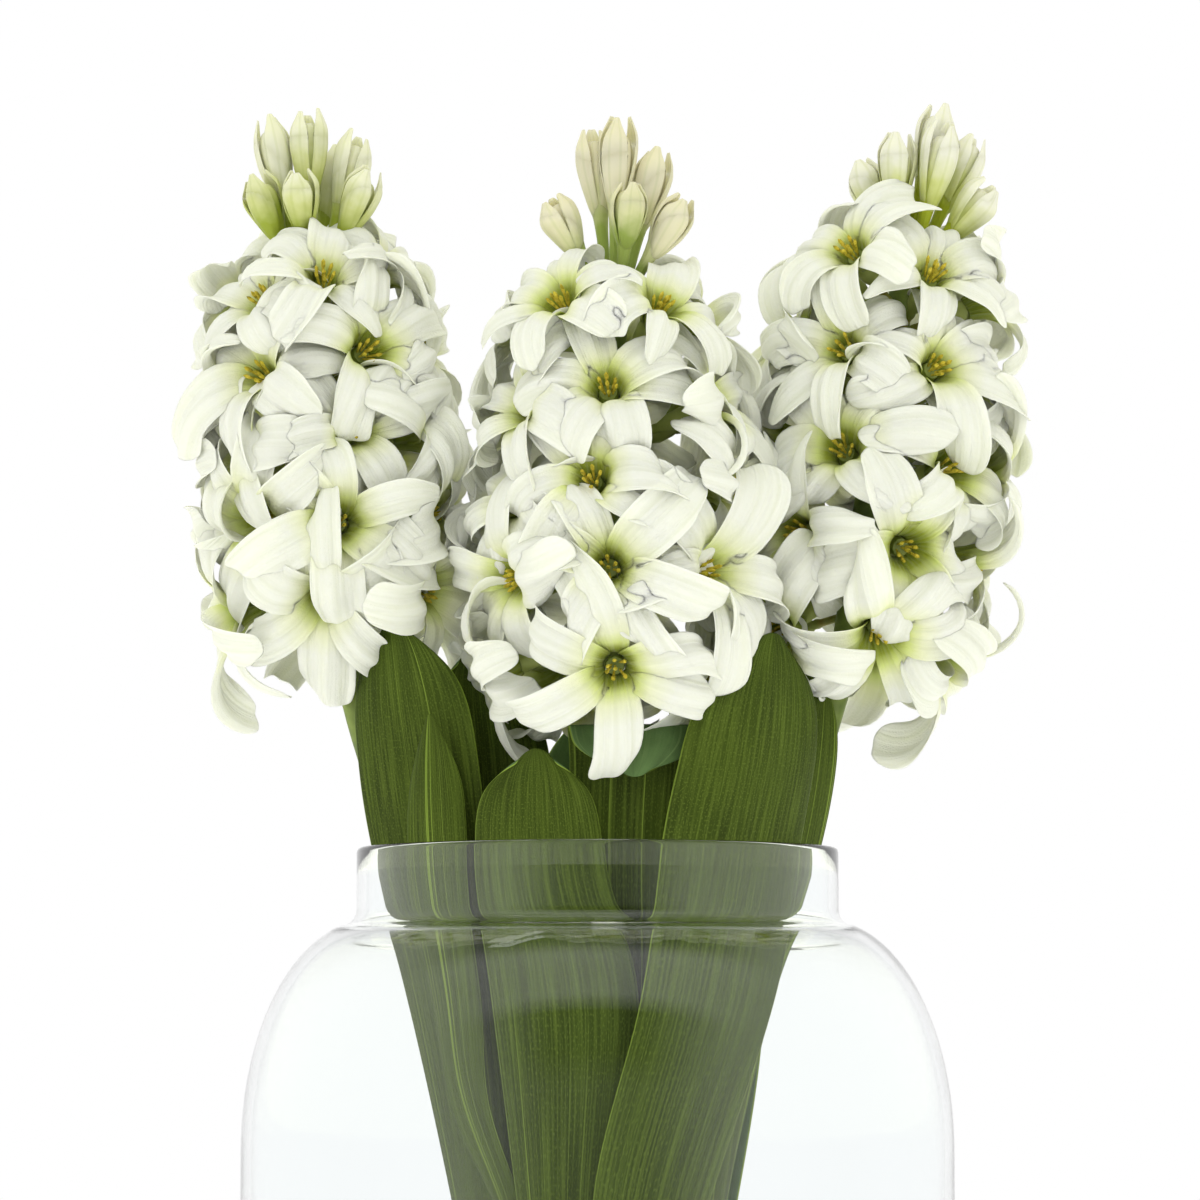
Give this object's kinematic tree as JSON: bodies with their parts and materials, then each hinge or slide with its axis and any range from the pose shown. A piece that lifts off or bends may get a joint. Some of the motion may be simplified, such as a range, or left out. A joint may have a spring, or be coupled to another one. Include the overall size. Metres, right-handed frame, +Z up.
{
  "type": "hyacinth flower",
  "caption": "White hyacinth flower spikes with strap leaves standing in a clear glass jar vase with a narrow collar",
  "frame": {"origin": "middle of the vase's flat foot, on the surface it stands on", "axes": "+Z up, the vase's axis; +X to the right across the three flower spikes; the flowers' front faces -Y"},
  "size_m": [0.1992, 0.177, 0.4194],
  "materials": {
    "clear_glass": "smooth blown clear glass",
    "petal_fabric": "pressed white silk-like polyester, yellow-green towards the throat",
    "leaf_fabric": "printed green woven polyester with pale veins",
    "stem_plastic": "moulded polyethylene, matte green",
    "bud_plastic": "moulded polyethylene, green base fading to cream tips"
  },
  "bodies": {
    "root": {"bud_left_1": "bud_plastic", "bud_left_2": "bud_plastic", "bud_left_3": "bud_plastic", "bud_left_4": "bud_plastic", "bud_left_5": "bud_plastic", "bud_left_6": "bud_plastic", "bud_left_7": "bud_plastic", "bud_middle_1": "bud_plastic", "bud_middle_2": "bud_plastic", "bud_middle_3": "bud_plastic", "bud_middle_4": "bud_plastic", "bud_middle_5": "bud_plastic", "bud_middle_6": "bud_plastic", "bud_right_1": "bud_plastic", "bud_right_2": "bud_plastic", "bud_right_3": "bud_plastic", "bud_right_4": "bud_plastic", "bud_right_5": "bud_plastic", "bud_right_6": "bud_plastic", "florets_left_1": "petal_fabric", "florets_left_2": "petal_fabric", "florets_left_3": "petal_fabric", "florets_left_4": "petal_fabric", "florets_left_5": "petal_fabric", "florets_middle_1": "petal_fabric", "florets_middle_2": "petal_fabric", "florets_middle_3": "petal_fabric", "florets_middle_4": "petal_fabric", "florets_middle_5": "petal_fabric", "florets_right_1": "petal_fabric", "florets_right_2": "petal_fabric", "florets_right_3": "petal_fabric", "florets_right_4": "petal_fabric", "florets_right_5": "petal_fabric", "leaf_left_inner": "leaf_fabric", "leaf_left_outer": "leaf_fabric", "leaf_left_rear": "leaf_fabric", "leaf_left_small": "leaf_fabric", "leaf_middle_broad": "leaf_fabric", "leaf_middle_folded": "leaf_fabric", "leaf_middle_front": "leaf_fabric", "leaf_middle_rear": "leaf_fabric", "leaf_right_inner": "leaf_fabric", "leaf_right_outer": "leaf_fabric", "leaf_right_rear": "leaf_fabric", "stem_left": "stem_plastic", "stem_middle": "stem_plastic", "stem_right": "stem_plastic", "vase": "clear_glass"}
  },
  "joints": []
}
